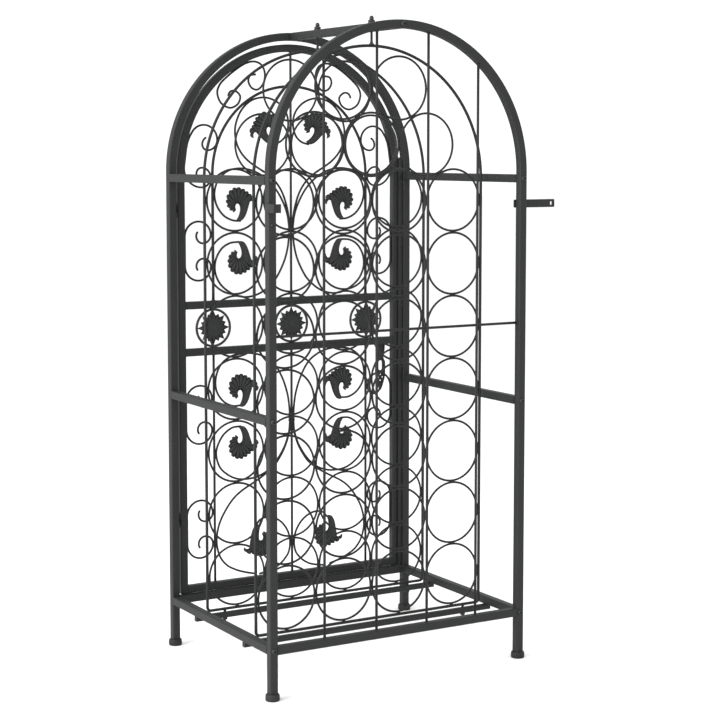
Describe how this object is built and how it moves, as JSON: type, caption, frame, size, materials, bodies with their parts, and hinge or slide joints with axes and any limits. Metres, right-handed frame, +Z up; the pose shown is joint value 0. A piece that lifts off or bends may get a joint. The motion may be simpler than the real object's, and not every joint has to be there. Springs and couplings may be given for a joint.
{
  "type": "wine rack",
  "caption": "Tall arched wrought-iron wine rack with bottle rings in two upright panels and a scrolled door that swings open in front.",
  "frame": {"origin": "on the floor, midway between the four feet", "axes": "+Z up; the door faces -Y and is hinged on the +X side; +Y is the rear with the wall brackets"},
  "size_m": [0.5153, 0.3836, 0.9993],
  "materials": {
    "coat": "fine-textured black powder coat",
    "plastic": "matte black",
    "steel": "black-finished steel, satin"
  },
  "bodies": {
    "rack": {"foot_cap_front_left": "plastic", "foot_cap_front_right": "plastic", "foot_cap_rear_left": "plastic", "foot_cap_rear_right": "plastic", "front_arch_tube": "coat", "front_bottom_rail": "coat", "front_cross_bar": "coat", "front_crown_rings": "coat", "front_hanging_stud": "steel", "front_panel_wire": "coat", "front_ring_column_1": "coat", "front_ring_column_2": "coat", "front_ring_column_3": "coat", "front_ring_column_4": "coat", "hasp_staple": "steel", "hinge_eye_lower": "steel", "hinge_eye_upper": "steel", "rear_arch_tube": "coat", "rear_bottom_rail": "coat", "rear_cross_bar": "coat", "rear_crown_rings": "coat", "rear_guard_rod": "coat", "rear_guard_wire_1": "coat", "rear_guard_wire_2": "coat", "rear_guard_wire_3": "coat", "rear_guard_wire_4": "coat", "rear_hanging_stud": "steel", "rear_panel_wire": "coat", "rear_ring_column_1": "coat", "rear_ring_column_2": "coat", "rear_ring_column_3": "coat", "rear_ring_column_4": "coat", "ridge_bar": "coat", "side_rail_low_left": "coat", "side_rail_low_right": "coat", "side_rail_mid_left": "coat", "side_rail_mid_right": "coat", "side_rail_top_left": "coat", "side_rail_top_right": "coat", "wall_bracket_left": "coat", "wall_bracket_right": "coat"},
    "door": {"door_arch_tube": "coat", "door_bar_lower": "coat", "door_bar_upper": "coat", "door_bottom_rail": "coat", "door_centre_wire_lower": "coat", "door_centre_wire_mid": "coat", "door_centre_wire_top": "coat", "door_inner_arch_wire": "coat", "door_inner_leg_left": "coat", "door_inner_leg_right": "coat", "hasp_screw": "steel", "hinge_barrel_lower": "steel", "hinge_barrel_upper": "steel", "sun_rosette_centre": "coat", "sun_rosette_left": "coat", "sun_rosette_right": "coat"},
    "hasp": {"hasp_plate": "steel"}
  },
  "joints": [
    {"name": "door_hinge", "type": "hinge", "parent": "rack", "child": "door", "pos_m": [0.20875, -0.17895, 0.45], "axis": [0, 0, 1], "range_deg": [0, 115]},
    {"name": "hasp_swivel", "type": "hinge", "parent": "door", "child": "hasp", "pos_m": [-0.1765, -0.1816, 0.4734], "axis": [0, 1, 0], "range_deg": [-75, 70]}
  ]
}
